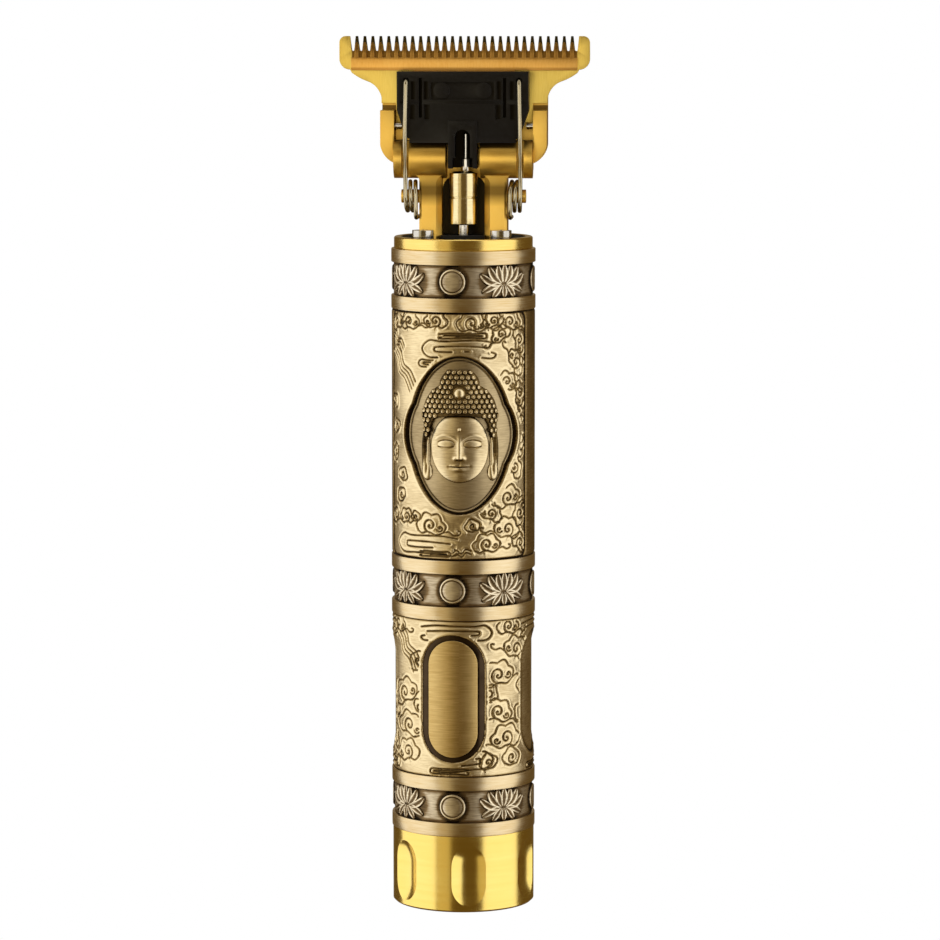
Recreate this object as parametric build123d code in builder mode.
"""Cordless T-blade hair clipper with a relief-cast brass sleeve.

Frame: millimetres, +Z up the body's axis, origin at the middle of the flat foot.
The blade's width lies along X. The front, with the medallion and the switch button, faces -Y.
An angle about the axis is measured from the front, positive towards +X.
"""

import os
from math import atan2, copysign, cos, degrees, pi, radians, sin

from build123d import *

os.makedirs("parts", exist_ok=True)

# ---------------------------------------------------------------- driving dimensions
BORE = (Align.CENTER, Align.CENTER, Align.MIN)  # a shape that stands on its own base

# Sleeve, from the foot up: cap, ring, band, ring, lower panel, ring, band, ring,
# upper panel, ring, band, ring.
cap_height = 13.7
ring_height = 2.5
band_height = 5.75
lower_panel_height = 28.05
upper_panel_height = 43.85
collar_height = 2.05
ring_r = 12.85
panel_r = 12.6
band_r = 12.35
cap_r = 12.68
collar_r = 12.35
sleeve_bore_r = 11.3
chassis_r = 11.25
chassis_bore_r = 10.35

# Where the decoration and the controls stand round the axis, in degrees from the front.
medallion_turn = 0.0
button_turn = -5.6
flute_turn = 7.7

# Medallion, button and its surround: sizes seen square on.
medallion_width, medallion_height = 20.3, 28.3
medallion_roundness = 1.9  # exponent of the outline's superellipse; 2 is a true ellipse
medallion_floor_r = 11.7
button_width, button_height = 8.8, 21.0
surround_width, surround_height = 11.3, 23.0
button_travel = 0.5

# Cutting head.
tooth_pitch = 1.42
tooth_count = 28
throw = 0.45  # the drive pin's distance from the shaft's axis, and half the cutter's stroke
tip_z = 155.2
bar_bottom_z = 149.15
blade_front_y = 3.05
blade_back_y = 4.9
cutter_front_y = 1.9
cutter_back_y = 3.0
follower_front_y = -2.6
barrel_y, barrel_z, barrel_r = 0.5, 133.5, 3.4
coil_y, coil_z, coil_r = 1.0, 126.9, 2.6
wire_r = 0.4
fit_gap = 0.05

# Drive and power pack.
shaft_r = 1.0
motor_r = 10.1
motor_flat = 15.4
motor_bottom_z, motor_top_z = 84.5, 114.0
cell_r, cell_length, cell_bottom_z = 7.1, 50.0, 26.0
cell_back = 2.9
board_front = 6.6
board_thickness = 1.0

# ---------------------------------------------------------------- derived places
lower_panel_z = cap_height + 2 * ring_height + band_height
middle_band_z = lower_panel_z + lower_panel_height
upper_panel_z = middle_band_z + 2 * ring_height + band_height
top_band_z = upper_panel_z + upper_panel_height
sleeve_top_z = top_band_z + 2 * ring_height + band_height
collar_top_z = sleeve_top_z + collar_height
button_z = lower_panel_z + lower_panel_height / 2
medallion_z = 85.4
stud_rings_z = [cap_height + ring_height + band_height / 2]
stud_rings_z += [z + ring_height + band_height / 2 for z in (middle_band_z, top_band_z)]


def facing(turn, height=0.0, out=0.0):
    """A plane that looks outwards at that angle: x to the right, y up and z out from the axis."""
    a = radians(turn)
    normal = Vector(sin(a), -cos(a), 0)
    return Plane(
        origin=normal * out + Vector(0, 0, height), x_dir=(cos(a), sin(a), 0), z_dir=normal
    )


def point_out(turn, out, across=0.0):
    """The (x, y) of a point that far out from the axis at that angle, and that far across to the right."""
    a = radians(turn)
    return (out * sin(a) + across * cos(a), -out * cos(a) + across * sin(a))


def finish(name, part):
    """Labels a finished piece and writes it."""
    part.label = name
    export_step(part, f"parts/{name}.step")


# ================================================================ base
# ---------------------------------------------------------------- fluted base cap
floor_thickness = 2.0
spigot_r, spigot_height = 11.2, 3.8
flute_r, flute_length = 7.0, 10.9
flute_axis_r = 18.56
flute_end = 3.8  # how far a flute's rounded end reaches past its straight run
flute_middle_z = 6.55
seal_z, seal_height = cap_height + 1.9, 0.9
post_r, post_ring_r = 1.1, 8.0
socket_width, socket_depth, socket_corner = 8.94, 3.26, 1.6
light_y = 6.2
light_r = 0.8
charge_board_z, charge_board_thickness = 8.6, 1.0
charge_board_top_z = charge_board_z + charge_board_thickness

# A round-ended cutter that stands outside the cap and bites into it.
flute_straight = flute_length - 2 * flute_end
with BuildPart() as flute_cutter:
    Cylinder(flute_r, flute_straight)
    with Locations((0, 0, flute_straight / 2), (0, 0, -flute_straight / 2)):
        Sphere(flute_r)

with BuildPart() as base_cap:
    Cylinder(cap_r, cap_height, align=BORE)
    chamfer(base_cap.edges().sort_by(Axis.Z)[0], 0.35)
    with Locations((0, 0, cap_height)):
        Cylinder(spigot_r, spigot_height, align=BORE)
    with Locations((0, 0, floor_thickness)):
        Cylinder(chassis_bore_r, cap_height + spigot_height, align=BORE, mode=Mode.SUBTRACT)
    # Six finger flutes.
    with PolarLocations(flute_axis_r, 6, start_angle=-90 + flute_turn):
        with Locations((0, 0, flute_middle_z)):
            add(flute_cutter.part, mode=Mode.SUBTRACT)
    # Groove for the seal.
    with BuildSketch(Plane.XZ):
        with Locations((spigot_r, seal_z)):
            Rectangle(1.4, seal_height + 0.1)
    revolve(axis=Axis.Z, mode=Mode.SUBTRACT)
    # Mouth for the charging plug, its shallow recess, and the hole for the light.
    with BuildSketch(Plane.XY):
        RectangleRounded(12.6, 6.8, 3.2)
    extrude(amount=0.8, mode=Mode.SUBTRACT)
    with BuildSketch(Plane.XY):
        RectangleRounded(socket_width + 0.2, socket_depth + 0.2, socket_corner)
        with Locations((0, light_y)):
            Circle(light_r)
    extrude(amount=floor_thickness, mode=Mode.SUBTRACT)
    # Posts that carry the charging board.
    with BuildSketch(Plane.XY.offset(floor_thickness)):
        with PolarLocations(post_ring_r, 4, start_angle=45):
            Circle(post_r)
    extrude(amount=charge_board_z - floor_thickness)
finish("base_cap", base_cap.part)

with BuildPart() as base_seal:
    with BuildSketch(Plane.XZ):
        with Locations((spigot_r - 0.3, seal_z)):
            RectangleRounded(0.76, seal_height, 0.3)
    revolve(axis=Axis.Z)
finish("base_seal", base_seal.part)

# ---------------------------------------------------------------- charging socket, its board and light
socket_bottom_z, socket_length, shell_wall = 0.95, 7.5, 0.3
with BuildPart() as charge_socket:
    with BuildSketch(Plane.XY.offset(socket_bottom_z)):
        RectangleRounded(socket_width, socket_depth, socket_corner)
    extrude(amount=socket_length)
    with BuildSketch(Plane.XY.offset(socket_bottom_z)):
        inner_width, inner_depth = socket_width - 2 * shell_wall, socket_depth - 2 * shell_wall
        RectangleRounded(inner_width, inner_depth, socket_corner - shell_wall)
    extrude(amount=socket_length - shell_wall, mode=Mode.SUBTRACT)
finish("charge_socket", charge_socket.part)

with BuildPart() as charge_socket_tongue:
    with Locations((0, 0, socket_bottom_z + 0.7)):
        Box(6.7, 0.7, socket_length - shell_wall - 0.7, align=BORE)
finish("charge_socket_tongue", charge_socket_tongue.part)

with BuildPart() as charge_board:
    with Locations((0, 0, charge_board_z)):
        Cylinder(9.8, charge_board_thickness, align=BORE)
    with PolarLocations(post_ring_r, 2, start_angle=45):
        Hole(0.5)
finish("charge_board", charge_board.part)

with BuildPart() as charge_board_screws:
    with BuildSketch(Plane.XY.offset(charge_board_top_z)):
        with PolarLocations(post_ring_r, 2, start_angle=45):
            Circle(1.0)
    extrude(amount=0.7)
    with BuildSketch(Plane.XY.offset(charge_board_z)):
        with PolarLocations(post_ring_r, 2, start_angle=45):
            Circle(0.5)
    extrude(amount=charge_board_thickness)
finish("charge_board_screws", charge_board_screws.part)

with BuildPart() as charge_light:
    with Locations((0, light_y, charge_board_z - 3.2)):
        Box(1.6, 1.6, 3.2, align=BORE)
finish("charge_light", charge_light.part)

with BuildPart() as light_lens:
    with Locations((0, light_y, 0.05)):
        Cylinder(light_r - 0.02, charge_board_z - 3.2 - 0.1, align=BORE)
finish("light_lens", light_lens.part)

# ================================================================ sleeve and its trim
rows = [(ring_height, ring_r), (band_height, band_r), (ring_height, ring_r)]
courses = rows + [(lower_panel_height, panel_r)] + rows + [(upper_panel_height, panel_r)] + rows
stud_r, stud_height = 2.3, 0.3
rail_half_angle = 19.0


def medallion_outline(grow):
    """The medallion's outline as a closed smooth curve in a BuildLine, that much larger all round."""
    half_w, half_h = medallion_width / 2 + grow, medallion_height / 2 + grow
    power = 2 / medallion_roundness
    points = []
    steps = 32
    for i in range(steps):
        across, up = cos(2 * pi * i / steps), sin(2 * pi * i / steps)
        wide, tall = half_w * abs(across) ** power, half_h * abs(up) ** power
        points.append((copysign(wide, across), copysign(tall, up)))
    return Spline(*points, periodic=True)


def curved_slab(inner, outer, height, length):
    """A tube about the axis, which a prism is cut from to give a plate that follows the sleeve."""
    with BuildPart(Plane.XY.offset(height - length / 2), mode=Mode.PRIVATE) as slab:
        Cylinder(outer, length, align=BORE)
        Cylinder(inner, length, align=BORE, mode=Mode.SUBTRACT)
    return slab.part


with BuildPart() as sleeve:
    z = cap_height
    for height, radius in courses:
        with Locations((0, 0, z)):
            Cylinder(radius, height, align=BORE)
        z += height
    # Two smooth rails up the sides of the upper panel.
    with BuildSketch(Plane.XY.offset(upper_panel_z)):
        for side in (90, -90):
            with BuildLine():
                spread = [radians(button_turn + side + k * rail_half_angle) for k in (-1, 1)]
                ends = [(20 * sin(a), -20 * cos(a)) for a in spread]
                Polyline((0, 0), ends[0], ends[1], close=True)
            make_face()
        Circle(ring_r - 0.05, mode=Mode.INTERSECT)
    extrude(amount=upper_panel_height)
    # Round studs on the bands, at every quarter turn.
    for stud_z in stud_rings_z:
        for quarter in range(4):
            with BuildSketch(facing(button_turn + 90 * quarter, stud_z, sleeve_bore_r + 0.5)):
                Circle(stud_r)
            extrude(amount=band_r + stud_height - sleeve_bore_r - 0.5)
    with Locations((0, 0, cap_height)):
        Cylinder(sleeve_bore_r, sleeve_top_z - cap_height, align=BORE, mode=Mode.SUBTRACT)
    # Shallow ovals on the sides and back of the lower panel, in line with the button.
    for quarter in (1, 2, 3):
        with BuildSketch(facing(button_turn + 90 * quarter, button_z, panel_r - 0.35)):
            SlotOverall(surround_height, surround_width, rotation=90)
        extrude(amount=2, mode=Mode.SUBTRACT)
    # Windows for the medallion and for the button's surround.
    with BuildSketch(facing(medallion_turn, medallion_z, 5)):
        with BuildLine():
            medallion_outline(0.0)
        make_face()
    extrude(amount=10, mode=Mode.SUBTRACT)
    with BuildSketch(facing(button_turn, button_z, 5)):
        SlotOverall(surround_height, surround_width, rotation=90)
    extrude(amount=10, mode=Mode.SUBTRACT)
finish("sleeve", sleeve.part)

with BuildPart() as medallion:
    with BuildSketch(facing(medallion_turn, medallion_z, 5)):
        with BuildLine():
            medallion_outline(-fit_gap)
        make_face()
    extrude(amount=10)
    add(curved_slab(sleeve_bore_r, medallion_floor_r, medallion_z, 40), mode=Mode.INTERSECT)
finish("medallion", medallion.part)

# The head stands on the medallion as one low relief: the head, its topknot and the two long ears.
relief_z = medallion_z + 1.6
with BuildPart() as head_relief:
    with BuildSketch(facing(medallion_turn, relief_z, 5)):
        Ellipse(6.2, 8.2)
        with Locations((0, 7.0)):
            Ellipse(3.1, 2.9)
        with Locations((-6.4, -3.5), (6.4, -3.5)):
            Ellipse(1.1, 4.2)
    extrude(amount=10)
    add(curved_slab(medallion_floor_r, ring_r - 0.35, relief_z, 40), mode=Mode.INTERSECT)
finish("head_relief", head_relief.part)

with BuildPart() as button_surround:
    with BuildSketch(facing(button_turn, button_z, 5)):
        SlotOverall(surround_height - 2 * fit_gap, surround_width - 2 * fit_gap, rotation=90)
        SlotOverall(button_height + 0.2, button_width + 0.2, rotation=90, mode=Mode.SUBTRACT)
    extrude(amount=10)
    add(curved_slab(sleeve_bore_r, panel_r - 0.15, button_z, 40), mode=Mode.INTERSECT)
finish("button_surround", button_surround.part)

# ================================================================ switch button
carrier_r, button_skin_r, button_r = 11.9, 12.2, 12.7
plunger_top = 9.6
stem_r = 1.5

with BuildPart() as button_cap:
    with BuildSketch(facing(button_turn, button_z, 5)):
        SlotOverall(button_height, button_width, rotation=90)
    extrude(amount=10)
    add(curved_slab(button_skin_r, button_r, button_z, 40), mode=Mode.INTERSECT)
finish("button_cap", button_cap.part)

with BuildPart() as button_carrier:
    with BuildSketch(facing(button_turn, button_z, 5)):
        SlotOverall(button_height - 0.4, button_width - 0.4, rotation=90)
    extrude(amount=10)
    add(curved_slab(carrier_r, button_skin_r, button_z, 40), mode=Mode.INTERSECT)
    with BuildSketch(facing(button_turn, button_z, plunger_top)):
        Circle(stem_r)
    extrude(amount=carrier_r + 0.1 - plunger_top)
finish("button_carrier", button_carrier.part)

with BuildPart() as button_membrane:
    with BuildSketch(facing(button_turn, button_z, chassis_r - 0.2)):
        Circle(3.4)
        Circle(2.1, mode=Mode.SUBTRACT)
    extrude(amount=5)
    add(curved_slab(chassis_r, carrier_r - 0.02, button_z, 20), mode=Mode.INTERSECT)
finish("button_membrane", button_membrane.part)

with BuildPart() as switch_plunger:
    with BuildSketch(facing(button_turn, button_z, 8.75)):
        Circle(1.7)
    extrude(amount=plunger_top - 8.75)
finish("switch_plunger", switch_plunger.part)

with BuildPart() as switch_body:
    with BuildSketch(facing(button_turn, button_z, board_front)):
        RectangleRounded(6.2, 6.2, 0.4)
    extrude(amount=2.6)
    with BuildSketch(facing(button_turn, button_z, 8.15)):
        Circle(1.8)
    extrude(amount=2, mode=Mode.SUBTRACT)
finish("switch_body", switch_body.part)

# ================================================================ circuit board, cell and leads
board_half_width, board_bottom_z, board_top_z = 7.5, 25.5, 72.0
board_middle_z = (board_bottom_z + board_top_z) / 2
with BuildPart() as circuit_board:
    with BuildSketch(facing(button_turn, board_middle_z, board_front - board_thickness)):
        RectangleRounded(2 * board_half_width, board_top_z - board_bottom_z, 0.8)
    extrude(amount=board_thickness)
finish("circuit_board", circuit_board.part)

with BuildPart() as control_chips:
    for across, height, wide, tall, deep in (
        (0, 57, 5.0, 4.0, 1.1),
        (-4.0, 63.5, 2.9, 2.8, 1.1),
        (3.2, 64, 4.0, 4.0, 1.8),
        (0, 29.5, 3.0, 1.6, 0.9),
        (-4.5, 49, 1.6, 3.2, 0.8),
        (4.5, 49, 1.6, 3.2, 0.8),
    ):
        with BuildSketch(facing(button_turn, height, board_front)):
            with Locations((across, 0)):
                Rectangle(wide, tall)
        extrude(amount=deep)
finish("control_chips", control_chips.part)

cell_x, cell_y = point_out(button_turn, -cell_back)
cell_top_z = cell_bottom_z + cell_length
with BuildPart() as battery_cell:
    with Locations((cell_x, cell_y, cell_bottom_z)):
        Cylinder(cell_r, cell_length, align=BORE)
    fillet(battery_cell.edges(), 0.5)
    with Locations((cell_x, cell_y, cell_top_z)):
        Cylinder(2.7, 1.0, align=BORE)
finish("battery_cell", battery_cell.part)

with BuildPart() as battery_insulator:
    with Locations((cell_x, cell_y, cell_top_z)):
        Cylinder(6.6, 0.4, align=BORE)
        Cylinder(2.8, 0.4, align=BORE, mode=Mode.SUBTRACT)
finish("battery_insulator", battery_insulator.part)

with BuildPart() as battery_tabs:
    with Locations((cell_x, cell_y, cell_bottom_z - 0.2), (cell_x, cell_y, cell_top_z + 1.0)):
        Box(9.0, 4.0, 0.2, align=BORE)
finish("battery_tabs", battery_tabs.part)

with BuildPart() as battery_pads:
    with Locations((cell_x, cell_y, cell_bottom_z - 1.4), (cell_x, cell_y, cell_top_z + 1.25)):
        Cylinder(6.0, 1.15, align=BORE)
finish("battery_pads", battery_pads.part)

lead_r = 0.55


def leads(*routes):
    """One insulated lead along each route, as straight runs joined by tangent arcs."""
    with BuildPart() as made:
        for points, bend in routes:
            with BuildLine(mode=Mode.PRIVATE) as path:
                FilletPolyline(*points, radius=bend)
            with BuildSketch(Plane(origin=points[0], z_dir=path.line @ 0.01 - path.line @ 0)):
                Circle(lead_r)
            sweep(path=path.line)
    return made.part


def at(out, across, height):
    """A point in the turned frame of the circuit board."""
    x, y = point_out(button_turn, out, across)
    return (x, y, height)


finish(
    "charge_leads",
    leads(
        ([at(4.6, -2.2, charge_board_top_z), at(4.6, -2.2, 17), at(7.2, -4.5, 22), at(7.2, -4.5, 28)], 2.0),
        ([at(4.6, 2.2, charge_board_top_z), at(4.6, 2.2, 17), at(7.2, 4.5, 22), at(7.2, 4.5, 28)], 2.0),
    ),
)
finish(
    "motor_leads",
    leads(
        ([at(7.2, -5.8, 68), at(7.2, -5.8, 76), at(0, -6.0, 79.5), at(0, -6.0, 81.2)], 0.8),
        ([at(7.2, 5.8, 68), at(7.2, 5.8, 76), at(0, 6.0, 79.5), at(0, 6.0, 81.2)], 0.8),
    ),
)

# ================================================================ inner chassis, in two halves
chassis_bottom_z, chassis_top_z = cap_height + spigot_height + 0.1, 116.2
bulkheads_z = (22.6, 78.4)
bulkhead_thickness = 1.2
screw_heights = (20.3, 80.9)
screw_across = 8.3


def chassis_half(keep):
    """A half of the chassis tube with its bulkheads, board rails and screw bosses."""
    with BuildPart() as half:
        with Locations((0, 0, chassis_bottom_z)):
            Cylinder(chassis_r, chassis_top_z - chassis_bottom_z, align=BORE)
            Cylinder(chassis_bore_r, chassis_top_z - chassis_bottom_z, align=BORE, mode=Mode.SUBTRACT)
        for bulkhead_z in bulkheads_z:
            with Locations((0, 0, bulkhead_z)):
                Cylinder(chassis_bore_r + 0.1, bulkhead_thickness, align=BORE)
        # Openings in the bulkheads for the leads.
        for across in (-4.5, 4.5):
            with Locations(at(6.4, across, bulkheads_z[0])):
                Box(4.5, 4.5, 6, mode=Mode.SUBTRACT)
        for across in (-6.0, 6.0):
            with Locations(at(3.0, across, bulkheads_z[1])):
                Box(3.6, 10.5, 8, mode=Mode.SUBTRACT)
        # Grooved rails that hold the board's edges.
        for side in (-1, 1):
            with BuildSketch(facing(button_turn, board_middle_z, board_front - 1.8)):
                with Locations((side * 8.25, 0)):
                    Rectangle(1.3, 40)
            extrude(amount=2.6)
            with BuildSketch(facing(button_turn, board_middle_z, board_front - board_thickness)):
                with Locations((side * 7.05, 0)):
                    Rectangle(1.1, 48)
            extrude(amount=board_thickness, mode=Mode.SUBTRACT)
        # Hole for the button's stem.
        with BuildSketch(facing(button_turn, button_z, 9)):
            Circle(stem_r + 0.4)
        extrude(amount=4, mode=Mode.SUBTRACT)
        # Screw holes through both halves' bosses.
        for height in screw_heights:
            for side in (-1, 1):
                with BuildSketch(facing(button_turn, height, -2.5)):
                    with Locations((side * screw_across, 0)):
                        Circle(1.55)
                    with Locations((side * (screw_across + 1.4), 0)):
                        Rectangle(2.4, 2.4)
                extrude(amount=5)
                with BuildSketch(facing(button_turn, height, -2.5)):
                    with Locations((side * screw_across, 0)):
                        Circle(0.7)
                extrude(amount=5, mode=Mode.SUBTRACT)
        split(bisect_by=facing(button_turn), keep=keep)
        # The bosses stand inside the tube only.
        with Locations((0, 0, chassis_bottom_z)):
            Cylinder(chassis_r, chassis_top_z - chassis_bottom_z, align=BORE, mode=Mode.INTERSECT)
    return half.part


finish("front_chassis", chassis_half(Keep.TOP))
finish("rear_chassis", chassis_half(Keep.BOTTOM))

with BuildPart() as chassis_screws:
    for height in screw_heights:
        for side in (-1, 1):
            with BuildSketch(facing(button_turn, height, -2.5)):
                with Locations((side * screw_across, 0)):
                    Circle(0.7)
            extrude(amount=5)
            with BuildSketch(facing(button_turn, height, 2.5)):
                with Locations((side * screw_across, 0)):
                    Circle(1.3)
            extrude(amount=1.1)
finish("chassis_screws", chassis_screws.part)

# ================================================================ motor
can_wall = 0.6
bearing_r = 2.0
boss_r, boss_height = 3.0, 1.6


def motor_section(radius, flat):
    """A round with two flats, front and back, inside a BuildSketch."""
    Circle(radius)
    Rectangle(2 * radius, flat, mode=Mode.INTERSECT)


with BuildPart() as motor_can:
    with BuildSketch(Plane.XY.offset(motor_bottom_z)):
        motor_section(motor_r, motor_flat)
    extrude(amount=motor_top_z - motor_bottom_z)
    with BuildSketch(Plane.XY.offset(motor_bottom_z)):
        motor_section(motor_r - can_wall, motor_flat - 2 * can_wall)
    extrude(amount=motor_top_z - motor_bottom_z - can_wall, mode=Mode.SUBTRACT)
    with Locations((0, 0, motor_top_z)):
        Cylinder(boss_r, boss_height, align=BORE)
    with Locations((0, 0, motor_top_z - can_wall)):
        Cylinder(bearing_r, can_wall + boss_height, align=BORE, mode=Mode.SUBTRACT)
finish("motor_can", motor_can.part)

bell_bottom_z = motor_bottom_z - 2.0
terminal_x = 6.0
with BuildPart() as motor_end_bell:
    with BuildSketch(Plane.XY.offset(bell_bottom_z)):
        motor_section(motor_r, motor_flat)
        Circle(bearing_r, mode=Mode.SUBTRACT)
        with Locations((-terminal_x, 0), (terminal_x, 0)):
            Rectangle(0.5, 2.4, mode=Mode.SUBTRACT)
    extrude(amount=motor_bottom_z - bell_bottom_z)
finish("motor_end_bell", motor_end_bell.part)

with BuildPart() as motor_terminals:
    with Locations((-terminal_x, 0, bell_bottom_z - 1.1), (terminal_x, 0, bell_bottom_z - 1.1)):
        Box(0.5, 2.4, 3.1, align=BORE)
finish("motor_terminals", motor_terminals.part)

with BuildPart() as motor_bearings:
    bearing_spans = ((motor_top_z - can_wall, motor_top_z + boss_height), (bell_bottom_z, motor_bottom_z))
    for low, high in bearing_spans:
        with Locations((0, 0, low)):
            Cylinder(bearing_r, high - low, align=BORE)
            Cylinder(shaft_r + 0.03, high - low, align=BORE, mode=Mode.SUBTRACT)
finish("motor_bearings", motor_bearings.part)

with BuildPart() as motor_magnets:
    with BuildSketch(Plane.XY.offset(90)):
        Circle(motor_r - can_wall - 0.1)
        Circle(7.35, mode=Mode.SUBTRACT)
        Rectangle(2 * motor_r, 12.6, mode=Mode.INTERSECT)
        Rectangle(8, 20, mode=Mode.SUBTRACT)
    extrude(amount=20)
finish("motor_magnets", motor_magnets.part)

with BuildPart() as motor_brushes:
    for side in (-1, 1):
        with Locations((side * 3.0, 0, 86.6)):
            Box(1.2, 1.8, 1.8, align=BORE)
        with Locations((side * 3.75, 0, motor_bottom_z)):
            Box(0.3, 1.8, 3.9, align=BORE)
finish("motor_brushes", motor_brushes.part)

with BuildPart() as motor_dampers:
    for low in (86.0, 106.0):
        with Locations((0, 0, low)):
            Cylinder(chassis_bore_r - 0.02, 4.0, align=BORE)
            Cylinder(motor_r + 0.02, 4.0, align=BORE, mode=Mode.SUBTRACT)
finish("motor_dampers", motor_dampers.part)

# ---------------------------------------------------------------- rotor
core_bottom_z, core_top_z = 92.0, 108.0
pole_neck, hub_r, core_r = 3.0, 2.6, 6.9
with BuildPart() as armature_core:
    with BuildSketch(Plane.XY.offset(core_bottom_z)):
        Circle(core_r)
        Circle(5.5, mode=Mode.SUBTRACT)
        Circle(hub_r)
        with PolarLocations(3.9, 3):
            Rectangle(3.6, pole_neck)
        with PolarLocations(6.0, 3, start_angle=60):
            Rectangle(3.0, 1.4, mode=Mode.SUBTRACT)
        Circle(shaft_r, mode=Mode.SUBTRACT)
    extrude(amount=core_top_z - core_bottom_z)
finish("armature_core", armature_core.part)

with BuildPart() as armature_windings:
    with BuildSketch(Plane.XY.offset(core_bottom_z - 1)):
        with PolarLocations(3.85, 3):
            Rectangle(1.9, pole_neck + 2.0)
    extrude(amount=core_top_z - core_bottom_z + 2)
    with BuildSketch(Plane.XY.offset(core_bottom_z)):
        with PolarLocations(3.85, 3):
            Rectangle(2.2, pole_neck)
    extrude(amount=core_top_z - core_bottom_z, mode=Mode.SUBTRACT)
finish("armature_windings", armature_windings.part)

with BuildPart() as commutator:
    with BuildSketch(Plane.XY.offset(85.4)):
        Circle(2.3)
        Circle(shaft_r, mode=Mode.SUBTRACT)
        with PolarLocations(2.3, 3, start_angle=30):
            Rectangle(1.4, 0.3, mode=Mode.SUBTRACT)
    extrude(amount=4.2)
finish("commutator", commutator.part)

eccentric_r, eccentric_bottom_z, eccentric_top_z = 2.45, 121.9, 131.4
shaft_top_z = 129.0
groove_z = 126.75
with BuildPart() as motor_shaft:
    with Locations((0, 0, bell_bottom_z + 0.1)):
        Cylinder(shaft_r, shaft_top_z - bell_bottom_z - 0.1, align=BORE)
finish("motor_shaft", motor_shaft.part)

pin_shoulder_r, pin_tip_r = 0.85, 0.42
with BuildPart() as eccentric:
    with Locations((0, 0, eccentric_bottom_z)):
        Cylinder(eccentric_r, eccentric_top_z - eccentric_bottom_z, align=BORE)
    chamfer(eccentric.edges().sort_by(Axis.Z)[0], 0.15)
    chamfer(eccentric.edges().sort_by(Axis.Z)[-1], 0.35, 0.95)
    with BuildSketch(Plane.XZ):
        with Locations((eccentric_r, groove_z)):
            Rectangle(0.4, 0.3)
    revolve(axis=Axis.Z, mode=Mode.SUBTRACT)
    with Locations((0, 0, eccentric_bottom_z)):
        Cylinder(shaft_r, shaft_top_z - eccentric_bottom_z, align=BORE, mode=Mode.SUBTRACT)
    with Locations((throw, 0, 129.6)):
        Cylinder(0.45, 3, align=BORE, mode=Mode.SUBTRACT)
finish("eccentric", eccentric.part)

with BuildPart() as drive_pin:
    with Locations((throw, 0, 129.6)):
        Cylinder(0.45, eccentric_top_z - 129.6, align=BORE)
    with Locations((throw, 0, eccentric_top_z)):
        Cylinder(pin_shoulder_r, 2.2, align=BORE)
    with Locations((throw, 0, eccentric_top_z + 2.2)):
        Cylinder(pin_tip_r, 4.6, align=BORE)
    fillet(drive_pin.edges().sort_by(Axis.Z)[-1], 0.3)
finish("drive_pin", drive_pin.part)

# ================================================================ top of the body
cover_z, cover_thickness = 117.85, 1.1
disc_z, disc_thickness = 116.3, 1.5
leg_inner, leg_outer = 3.8, 7.8
leg_front_y, leg_back_y = -1.4, 5.0
leg_inner_bevel, leg_outer_bevel = 1.0, 0.45
head_screw_places = ((-6.9, -4.6), (6.9, -4.6), (-4.6, 7.4), (4.6, 7.4))
screw_head_height = 2.2

with BuildPart() as collar:
    with Locations((0, 0, sleeve_top_z)):
        Cylinder(collar_r, collar_height, align=BORE)
    chamfer(collar.edges().sort_by(Axis.Z)[-1], 0.2)
    with Locations((0, 0, disc_z)):
        Cylinder(chassis_r, sleeve_top_z - disc_z, align=BORE)
    with Locations((0, 0, disc_z)):
        Cylinder(10.45, 5, align=BORE, mode=Mode.SUBTRACT)
    with Locations((0, 0, cover_z)):
        Cylinder(11.15, 5, align=BORE, mode=Mode.SUBTRACT)
finish("collar", collar.part)

with BuildPart() as top_cover:
    with BuildSketch(Plane.XY.offset(cover_z)):
        Circle(11.1)
        Circle(1.7, mode=Mode.SUBTRACT)
        with Locations((-(leg_inner + leg_outer) / 2, 1.8), ((leg_inner + leg_outer) / 2, 1.8)):
            Rectangle(leg_outer - leg_inner + 0.1, 6.5, mode=Mode.SUBTRACT)
        with Locations(*head_screw_places):
            Circle(0.95, mode=Mode.SUBTRACT)
    extrude(amount=cover_thickness)
finish("top_cover", top_cover.part)

with BuildPart() as motor_mount:
    with BuildSketch(Plane.XY.offset(motor_top_z + 0.05)):
        Circle(10.3)
        Circle(boss_r + 0.05, mode=Mode.SUBTRACT)
        with Locations(*head_screw_places):
            Circle(0.9, mode=Mode.SUBTRACT)
    extrude(amount=disc_z - motor_top_z - 0.05)
finish("motor_mount", motor_mount.part)

with BuildPart() as head_screws:
    with BuildSketch(Plane.XY.offset(motor_top_z + 0.4)):
        with Locations(*head_screw_places):
            Circle(0.9)
    extrude(amount=cover_z + cover_thickness - motor_top_z - 0.4)
    with BuildSketch(Plane.XY.offset(cover_z + cover_thickness)):
        with Locations(*head_screw_places):
            Circle(1.9)
    extrude(amount=screw_head_height)
    with BuildSketch(Plane.XY.offset(cover_z + cover_thickness + screw_head_height - 0.6)):
        with Locations(*head_screw_places):
            Rectangle(2.4, 0.45)
            Rectangle(0.45, 2.4)
    extrude(amount=1, mode=Mode.SUBTRACT)
finish("head_screws", head_screws.part)

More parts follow.
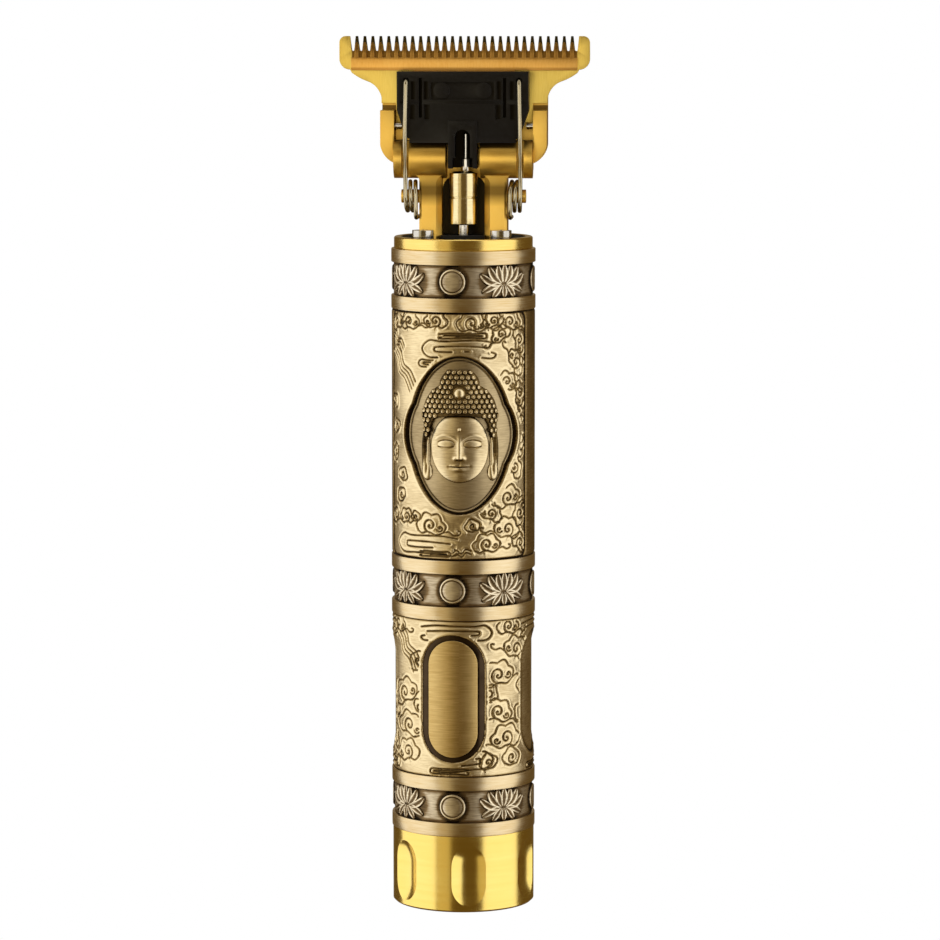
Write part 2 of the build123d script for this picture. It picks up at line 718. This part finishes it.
# Shield between the legs that keeps cut hair off the motor: a foot round the shaft and a plate behind it.
shield_half = leg_inner - fit_gap
shield_front_y, shield_back_y = 2.95, 3.95
shield_foot_z, shield_top_z, shield_corner = 120.1, 130.3, 2.25
with BuildPart() as dust_shield:
    with BuildSketch(Plane.XZ.offset(-shield_front_y)):
        with BuildLine():
            Line((-shield_half, cover_z + cover_thickness), (-shield_half, shield_top_z - shield_corner))
            RadiusArc(
                (-shield_half, shield_top_z - shield_corner),
                (-shield_half + shield_corner, shield_top_z),
                shield_corner,
            )
            Line((-shield_half + shield_corner, shield_top_z), (shield_half - shield_corner, shield_top_z))
            RadiusArc(
                (shield_half - shield_corner, shield_top_z),
                (shield_half, shield_top_z - shield_corner),
                shield_corner,
            )
            Line((shield_half, shield_top_z - shield_corner), (shield_half, cover_z + cover_thickness))
            Line((shield_half, cover_z + cover_thickness), (-shield_half, cover_z + cover_thickness))
        make_face()
    extrude(amount=-(shield_back_y - shield_front_y))
    with BuildSketch(Plane.XY.offset(cover_z + cover_thickness)):
        with Locations((0, (shield_back_y - 3.2) / 2)):
            Rectangle(2 * shield_half, shield_back_y + 3.2)
        Circle(1.7, mode=Mode.SUBTRACT)
    extrude(amount=shield_foot_z - cover_z - cover_thickness)
finish("dust_shield", dust_shield.part)

# ================================================================ cutting head
# ---------------------------------------------------------------- head bracket
seat_y, seat_back_y = blade_back_y + 0.05, 7.4
ear_x, ear_inner_x = 14.8, 12.35
ear_top_z, ear_round_z, ear_bottom_z = 142.1, 136.0, 132.6
web_inner_r, web_outer_r, web_top_z, web_depth = 1.8, 1.2, 130.8, 0.8
arch_z = 130.4
barrel_inner_x, barrel_outer_x = 3.05, 12.3
slot_inner_x, slot_outer_x = 9.55, 10.85
spring_pin_r = 1.2
set_screw_place = (2.5, 139.3)
blade_screw_places = ((-8.0, 144.2), (8.0, 144.2))

with BuildPart() as head_bracket:
    # Seat plate behind the blade, with its rounded lower corners.
    with BuildSketch(Plane.XZ.offset(-seat_y)):
        with BuildLine():
            Line((-ear_x, 146.6), (ear_x, 146.6))
            Line((ear_x, 146.6), (ear_x, ear_round_z))
            RadiusArc((ear_x, ear_round_z), (barrel_outer_x, ear_bottom_z), 4.2)
            Line((barrel_outer_x, ear_bottom_z), (-barrel_outer_x, ear_bottom_z))
            RadiusArc((-barrel_outer_x, ear_bottom_z), (-ear_x, ear_round_z), 4.2)
            Line((-ear_x, ear_round_z), (-ear_x, 146.6))
        make_face()
    extrude(amount=-(seat_back_y - seat_y))
    fillet(head_bracket.edges().group_by(Axis.Y)[-1], 0.8)
    # Ears that come forward at the sides.
    with BuildSketch(Plane.XZ.offset(0.2)):
        for side in (-1, 1):
            with BuildLine():
                Polyline(
                    (side * ear_inner_x, ear_bottom_z + 0.2),
                    (side * ear_inner_x, ear_top_z),
                    (side * ear_x, ear_top_z),
                    (side * ear_x, ear_round_z),
                )
                RadiusArc((side * ear_x, ear_round_z), (side * ear_inner_x, ear_bottom_z + 0.2), side * 4.2)
            make_face()
    extrude(amount=-(seat_y + 0.3))
    # The barrel: two round shoulders with a slot in each for the spring's leg.
    for side in (-1, 1):
        with BuildSketch(Plane.YZ.offset(side * barrel_inner_x)):
            with Locations((barrel_y, barrel_z)):
                Circle(barrel_r)
        extrude(amount=side * (barrel_outer_x - barrel_inner_x))
    # Legs, with an arch between them behind the drive.
    with BuildSketch(Plane.XZ.offset(-leg_back_y)):
        with Locations((0, (cover_z + 136) / 2)):
            Rectangle(2 * leg_outer, 136 - cover_z)
        with BuildLine():
            Polyline((-leg_inner, cover_z), (-leg_inner, arch_z - 2.2))
            RadiusArc((-leg_inner, arch_z - 2.2), (-leg_inner + 2.2, arch_z), 2.2)
            Line((-leg_inner + 2.2, arch_z), (leg_inner - 2.2, arch_z))
            RadiusArc((leg_inner - 2.2, arch_z), (leg_inner, arch_z - 2.2), 2.2)
            Polyline((leg_inner, arch_z - 2.2), (leg_inner, cover_z), (-leg_inner, cover_z))
        make_face(mode=Mode.SUBTRACT)
    extrude(amount=2.2)
    with BuildSketch(Plane.XY.offset(disc_z + disc_thickness)):
        for side in (-1, 1):
            with BuildLine():
                Polyline(
                    (side * leg_inner, leg_back_y),
                    (side * leg_inner, leg_front_y + leg_inner_bevel),
                    (side * (leg_inner + leg_inner_bevel), leg_front_y),
                    (side * (leg_outer - leg_outer_bevel), leg_front_y),
                    (side * leg_outer, leg_front_y + leg_outer_bevel),
                    (side * leg_outer, leg_back_y),
                    close=True,
                )
            make_face()
    extrude(amount=barrel_z - disc_z - disc_thickness)
    # Webs that spread each leg into its shoulder.
    with BuildSketch(Plane.XZ.offset(-leg_front_y)):
        for side in (-1, 1):
            inner, outer = side * (leg_inner + leg_inner_bevel), side * (leg_outer - 0.1)
            inner_top, outer_top = inner - side * web_inner_r, outer + side * web_outer_r
            with BuildLine():
                Line((inner, web_top_z - web_inner_r), (outer, web_top_z - web_outer_r))
                RadiusArc((outer, web_top_z - web_outer_r), (outer_top, web_top_z), side * web_outer_r)
                Line((outer_top, web_top_z), (outer_top, barrel_z))
                Line((outer_top, barrel_z), (inner_top, barrel_z))
                Line((inner_top, barrel_z), (inner_top, web_top_z))
                RadiusArc((inner_top, web_top_z), (inner, web_top_z - web_inner_r), side * web_inner_r)
            make_face()
    extrude(amount=-web_depth)
    # Web that joins the legs and the barrel to the seat plate.
    with Locations((0, (leg_back_y + seat_back_y) / 2 - 0.4, (arch_z + 138) / 2)):
        Box(2 * leg_outer, seat_back_y - leg_back_y + 0.8, 138 - arch_z - 1.0)
    for side in (-1, 1):
        with Locations((side * 7.6, 4.0, barrel_z)):
            Box(9.3, 2.4, 4.0)
    # Room for the spring's legs and for the follower's stem.
    for side in (-1, 1):
        with Locations((side * (slot_inner_x + slot_outer_x) / 2, barrel_y - 3.1, barrel_z)):
            Box(slot_outer_x - slot_inner_x, 4.0, 8.0, mode=Mode.SUBTRACT)
    with Locations((0, -0.9, 134)):
        Box(2 * barrel_inner_x, 7.6, 8.5, mode=Mode.SUBTRACT)
    # Foot disc under the cover.
    with BuildSketch(Plane.XY.offset(disc_z)):
        Circle(10.3)
        Circle(3.4, mode=Mode.SUBTRACT)
        with Locations(*head_screw_places):
            Circle(0.95, mode=Mode.SUBTRACT)
    extrude(amount=disc_thickness)
    # Holes for the blade's screws, loose enough to set the blade, and for the spring's pins.
    with BuildSketch(Plane.XZ.offset(-seat_y)):
        with Locations(*blade_screw_places):
            Circle(1.25)
    extrude(amount=-4, mode=Mode.SUBTRACT)
    for side in (-1, 1):
        with BuildSketch(Plane.YZ.offset(side * 6.2)):
            with Locations((coil_y, coil_z)):
                Circle(spring_pin_r)
        extrude(amount=side * 3, mode=Mode.SUBTRACT)
        with BuildSketch(Plane.YZ.offset(side * 11)):
            with Locations(set_screw_place):
                Circle(0.55)
        extrude(amount=side * 3.2, mode=Mode.SUBTRACT)
finish("head_bracket", head_bracket.part)

# ---------------------------------------------------------------- fixed blade
bar_half, lobe_start_x = 22.3, 20.2
lobe_top_r, lobe_bottom_r = 1.15, 1.9
tongue_half, tongue_bottom_z = 12.2, 139.95
neck_half, neck_bottom_z = 14.8, 143.3
fixed_gap_bottom_z, gap_foot, gap_mouth = 152.8, 0.5, 1.1

with BuildPart() as fixed_blade:
    with BuildSketch(Plane.XZ.offset(-blade_front_y)):
        with BuildLine():
            Line((-bar_half + lobe_top_r, tip_z), (bar_half - lobe_top_r, tip_z))
            for side in (1, -1):
                top_corner = (side * bar_half, tip_z - lobe_top_r)
                low_corner = (side * bar_half, bar_bottom_z + 0.1 + lobe_bottom_r)
                low_end = (side * (bar_half - lobe_bottom_r), bar_bottom_z + 0.1)
                RadiusArc((side * (bar_half - lobe_top_r), tip_z), top_corner, side * lobe_top_r)
                Line(top_corner, low_corner)
                RadiusArc(low_corner, low_end, side * lobe_bottom_r)
                Line(low_end, (side * 20.1, 148.7))
                ThreePointArc((side * 20.1, 148.7), (side * 18.9, 147.9), (side * 17.2, 147.15))
                ThreePointArc((side * 17.2, 147.15), (side * 15.6, 146.0), (side * neck_half, 144.3))
                Polyline(
                    (side * neck_half, 144.3),
                    (side * neck_half, neck_bottom_z),
                    (side * tongue_half, neck_bottom_z),
                    (side * tongue_half, tongue_bottom_z),
                )
            Line((-tongue_half, tongue_bottom_z), (tongue_half, tongue_bottom_z))
        make_face()
    extrude(amount=-(blade_back_y - blade_front_y))
    # Gaps between the teeth, one pitch apart, with round feet and mouths wide enough to point the teeth.
    with BuildSketch(Plane.XZ.offset(-blade_front_y + 0.5)):
        gap_depth = tip_z + 0.5 - fixed_gap_bottom_z
        gap_slope = degrees(atan2(gap_depth, (gap_mouth - gap_foot) / 2))
        with Locations((0, fixed_gap_bottom_z + gap_depth / 2)):
            with GridLocations(tooth_pitch, 1, tooth_count + 1, 1):
                Trapezoid(gap_mouth, gap_depth, gap_slope, rotation=180)
        with Locations((0, fixed_gap_bottom_z)):
            with GridLocations(tooth_pitch, 1, tooth_count + 1, 1):
                Circle(gap_foot / 2)
    extrude(amount=-4, mode=Mode.SUBTRACT)
    # Ground bevel behind the tips.
    with BuildSketch(Plane.YZ.offset(-25)):
        with BuildLine():
            Polyline(
                (blade_back_y + 0.5, 151.0),
                (blade_back_y + 0.5, 156),
                (blade_front_y + 0.55, 156),
                (blade_front_y + 0.75, 155.1),
                (blade_back_y, 152.0),
                close=True,
            )
        make_face()
    extrude(amount=50, mode=Mode.SUBTRACT)
    with BuildSketch(Plane.XZ.offset(-blade_front_y + 1)):
        with Locations(*blade_screw_places):
            Circle(0.95)
    extrude(amount=-6, mode=Mode.SUBTRACT)
finish("fixed_blade", fixed_blade.part)

with BuildPart() as blade_screws:
    with BuildSketch(Plane.XZ.offset(-3.3)):
        with Locations(*blade_screw_places):
            Circle(0.95)
    extrude(amount=-(seat_back_y - 3.3))
    with BuildSketch(Plane.XZ.offset(-seat_back_y)):
        with Locations(*blade_screw_places):
            Circle(1.9)
    extrude(amount=-1.2)
    with BuildSketch(Plane.XZ.offset(-seat_back_y - 0.7)):
        with Locations(*blade_screw_places):
            Rectangle(2.4, 0.45)
            Rectangle(0.45, 2.4)
    extrude(amount=-2, mode=Mode.SUBTRACT)
finish("blade_screws", blade_screws.part)

with BuildPart() as blade_set_screws:
    for side in (-1, 1):
        with BuildSketch(Plane.YZ.offset(side * 11.1)):
            with Locations(set_screw_place):
                Circle(0.55)
        extrude(amount=side * 3.0)
finish("blade_set_screws", blade_set_screws.part)

# ---------------------------------------------------------------- moving blade
cutter_half, cutter_root_z, cutter_tip_z = 20.1, 151.4, 154.1
tooth_base, tooth_tip = 0.74, 0.36
peg_places = ((-3.7, 145.7), (3.7, 145.7))
with BuildPart() as moving_blade:
    with BuildSketch(Plane.XZ.offset(-cutter_front_y)):
        with Locations((0, (bar_bottom_z + cutter_root_z) / 2)):
            Rectangle(2 * cutter_half, cutter_root_z - bar_bottom_z)
        with Locations((0, (143.3 + bar_bottom_z) / 2)):
            Rectangle(18.0, bar_bottom_z - 143.3)
        tooth_length = cutter_tip_z - cutter_root_z
        with Locations((0, cutter_root_z + tooth_length / 2)):
            with GridLocations(tooth_pitch, 1, tooth_count, 1):
                tooth_slope = degrees(atan2(tooth_length, (tooth_base - tooth_tip) / 2))
                Trapezoid(tooth_base, tooth_length, tooth_slope)
        with Locations(*peg_places):
            Circle(0.92, mode=Mode.SUBTRACT)
    extrude(amount=-(cutter_back_y - cutter_front_y))
    # The front is ground away towards the tips.
    with BuildSketch(Plane.YZ.offset(-25)):
        with BuildLine():
            Polyline(
                (cutter_front_y, 151.0),
                (cutter_front_y - 1, 151.0),
                (cutter_front_y - 1, 155),
                (cutter_front_y + 0.75, 155),
                (cutter_front_y + 0.6, 154.0),
                close=True,
            )
        make_face()
    extrude(amount=50, mode=Mode.SUBTRACT)
finish("moving_blade", moving_blade.part)

# ---------------------------------------------------------------- follower that drives the moving blade
follower_half, follower_top_z, follower_bottom_z = 11.65, 149.0, 137.2
follower_lip_z = 136.45
stem_half, stem_bottom_z, stem_top_z = 2.55, 131.95, 140.3
slot_half, slot_step_z = pin_shoulder_r + 2 * throw + fit_gap, 133.85
slot_tip_half, slot_top_z = pin_tip_r + 2 * throw + fit_gap, 138.8
hole_x, hole_z = 10.0, 147.4
with BuildPart() as follower:
    with BuildSketch(Plane.XZ.offset(-cutter_front_y)):
        with BuildLine():
            Polyline(
                (-follower_half, follower_top_z),
                (follower_half, follower_top_z),
                (follower_half, 142.2),
                (10.7, 139.4),
                (9.7, follower_bottom_z),
                (-9.7, follower_bottom_z),
                (-10.7, 139.4),
                (-follower_half, 142.2),
                close=True,
            )
        make_face()
    extrude(amount=cutter_front_y - follower_front_y)
    # Lip that hangs in front of the shoulders.
    with BuildSketch(Plane.XZ.offset(-follower_front_y - 0.85)):
        with Locations((0, (follower_lip_z + follower_bottom_z) / 2)):
            Rectangle(2 * 9.4, follower_bottom_z - follower_lip_z)
    extrude(amount=0.85)
    # Stem with the fork slot, open at its foot and front.
    with BuildSketch(Plane.XZ.offset(-2.1)):
        with Locations((0, (stem_bottom_z + stem_top_z) / 2)):
            Rectangle(2 * stem_half, stem_top_z - stem_bottom_z)
    extrude(amount=2.1 + 3.2)
    with BuildSketch(Plane.XZ.offset(-1.45)):
        with Locations((0, (130 + slot_top_z) / 2)):
            SlotOverall(slot_top_z - 130, 2 * slot_tip_half, rotation=90)
        with Locations((0, (130 + slot_step_z) / 2)):
            Rectangle(2 * slot_half, slot_step_z - 130)
    extrude(amount=6, mode=Mode.SUBTRACT)
    # Sunk panel in the middle of the front, with two round bosses, and ribs beside it.
    with BuildSketch(Plane.XZ.offset(2.1)):
        with Locations((0, 145.6)):
            RectangleRounded(11.3, 3.1, 0.3)
        with Locations(*peg_places):
            Circle(1.4, mode=Mode.SUBTRACT)
    extrude(amount=2, mode=Mode.SUBTRACT)
    with BuildSketch(Plane.XZ.offset(0.6)):
        with Locations((-7.45, 144.4), (7.45, 144.4)):
            Rectangle(0.55, 7.0)
    extrude(amount=3, mode=Mode.SUBTRACT)
    with BuildSketch(Plane.XZ.offset(1.7)):
        with Locations((-8.75, 145.7), (8.75, 145.7), (-6.45, 145.7), (6.45, 145.7)):
            Rectangle(0.8, 3.2)
        with Locations((-8.9, 141.9), (8.9, 141.9), (-6.3, 141.9), (6.3, 141.9)):
            Rectangle(1.0, 2.6)
    extrude(amount=3, mode=Mode.SUBTRACT)
    with BuildSketch(Plane.XZ.offset(2.3)):
        with Locations((0, 143.6)):
            Rectangle(22.0, 0.5)
    extrude(amount=2, mode=Mode.SUBTRACT)
    # Holes for the ends of the spring.
    with BuildSketch(Plane.XZ.offset(0.9)):
        with Locations((-hole_x, hole_z), (hole_x, hole_z)):
            Circle(wire_r + 0.15)
    extrude(amount=4, mode=Mode.SUBTRACT)
    # Pegs that hold the moving blade.
    with BuildSketch(Plane.XZ.offset(-cutter_front_y)):
        with Locations(*peg_places):
            Circle(0.9)
    extrude(amount=-(cutter_back_y - cutter_front_y - 0.1))
finish("follower", follower.part)

# ---------------------------------------------------------------- spring that presses the blades together
with BuildPart() as spring_pins:
    for side in (-1, 1):
        with BuildSketch(Plane.YZ.offset(side * 6.2)):
            with Locations((coil_y, coil_z)):
                Circle(spring_pin_r)
        extrude(amount=side * 4.9)
finish("spring_pins", spring_pins.part)

leg_x = 10.2
coil_turns, coil_pitch = 2, 0.95


def wire(points, bends):
    """A round wire along straight runs joined by tangent arcs."""
    with BuildPart(mode=Mode.PRIVATE) as made:
        with BuildLine(mode=Mode.PRIVATE) as path:
            FilletPolyline(*points, radius=bends)
        with BuildSketch(Plane(origin=points[0], z_dir=path.line % 0)):
            Circle(wire_r)
        sweep(path=path.line)
    return made.part


with BuildPart() as tension_spring:
    for side in (-1, 1):
        coil_start_x = side * leg_x
        # Leg: out of the follower's hole, down its front, through the barrel's slot to the coil.
        add(
            wire(
                [
                    (side * hole_x, -1.3, hole_z),
                    (side * hole_x, -3.25, hole_z),
                    (coil_start_x, -3.35, 137.5),
                    (coil_start_x, coil_y - coil_r, 130.0),
                    (coil_start_x, coil_y - coil_r, coil_z),
                ],
                [0.7, 4.0, 4.0],
            )
        )
        # Coil about the spring pin, wound inwards from the leg.
        coil_plane = Plane(origin=(coil_start_x, coil_y, coil_z), x_dir=(0, -1, 0), z_dir=(-side, 0, 0))
        coil_length = coil_turns * coil_pitch
        coil = coil_plane * Helix(coil_pitch, coil_length, coil_r, lefthand=side > 0, mode=Mode.PRIVATE)
        with BuildSketch(Plane(origin=coil @ 0, z_dir=coil % 0)):
            Circle(wire_r)
        sweep(path=coil, is_frenet=True)
    # Bridge behind the legs, from coil to coil.
    bridge_y = leg_back_y + wire_r + 0.1
    end_x = leg_x - coil_turns * coil_pitch
    add(
        wire(
            [
                (-end_x, coil_y - coil_r, coil_z),
                (-end_x, coil_y - coil_r, 123.2),
                (-end_x, bridge_y, 123.2),
                (end_x, bridge_y, 123.2),
                (end_x, coil_y - coil_r, 123.2),
                (end_x, coil_y - coil_r, coil_z),
            ],
            [1.2, 1.0, 1.0, 1.2],
        )
    )
finish("tension_spring", tension_spring.part)
